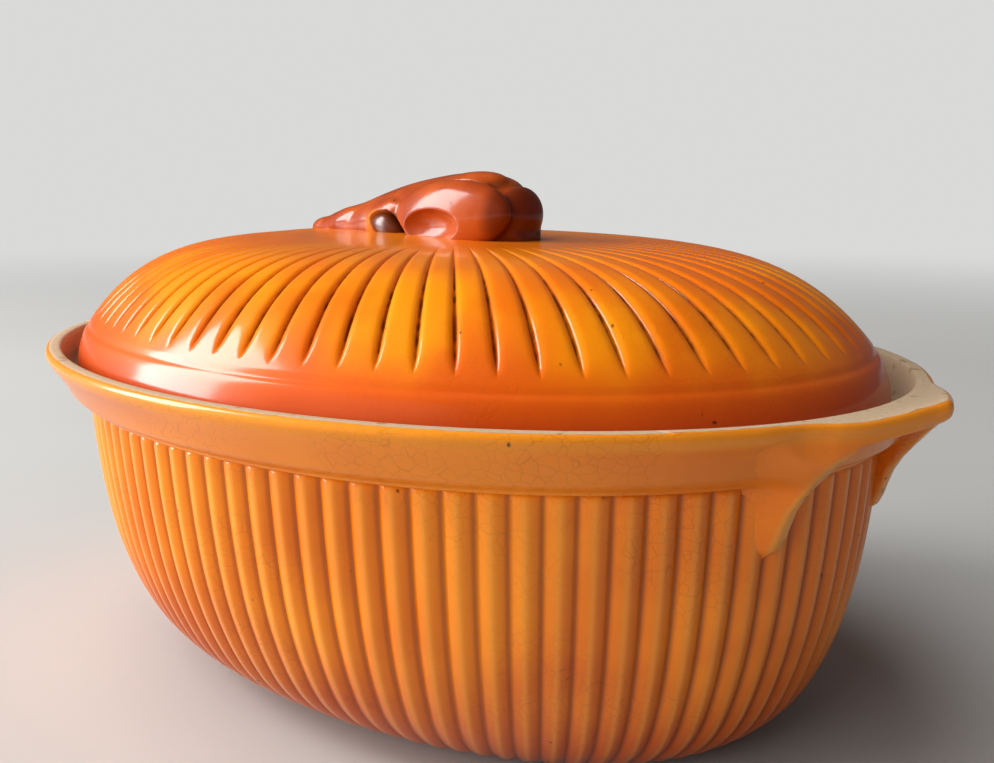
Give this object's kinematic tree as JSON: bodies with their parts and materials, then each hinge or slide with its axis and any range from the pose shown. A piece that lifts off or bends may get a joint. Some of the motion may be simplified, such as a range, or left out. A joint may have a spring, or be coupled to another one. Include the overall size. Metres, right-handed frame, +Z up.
{
  "type": "terrine dish",
  "caption": "Oval reeded terrine dish in glazed earthenware, with pointed end lugs and a domed, grooved lid lifted by a hare's head grip.",
  "frame": {"origin": "middle of the base, on the plane that the dish stands on", "axes": "+X along the long axis towards the right lug, +Y along the short axis, +Z up; the hare's nose points to -X"},
  "size_m": [0.324, 0.2328, 0.1568],
  "materials": {
    "dish_glaze": "amber glaze over red-buff earthenware, crazed, bare clay on the rim top",
    "lug_glaze": "amber glaze below, bare beige clay on top",
    "lid_glaze": "amber glaze that breaks to red-brown at the border",
    "grip_glaze": "red-brown glaze, dark brown in the eyes"
  },
  "bodies": {
    "dish": {"dish": "dish_glaze", "left_lug": "lug_glaze", "right_lug": "lug_glaze"},
    "lid": {"lid": "lid_glaze", "hare_head_grip": "grip_glaze"}
  },
  "joints": [
    {"name": "lid_lift", "type": "slide", "parent": "dish", "child": "lid", "axis": [0, 0, 1], "range_m": [0, 0.12]}
  ]
}
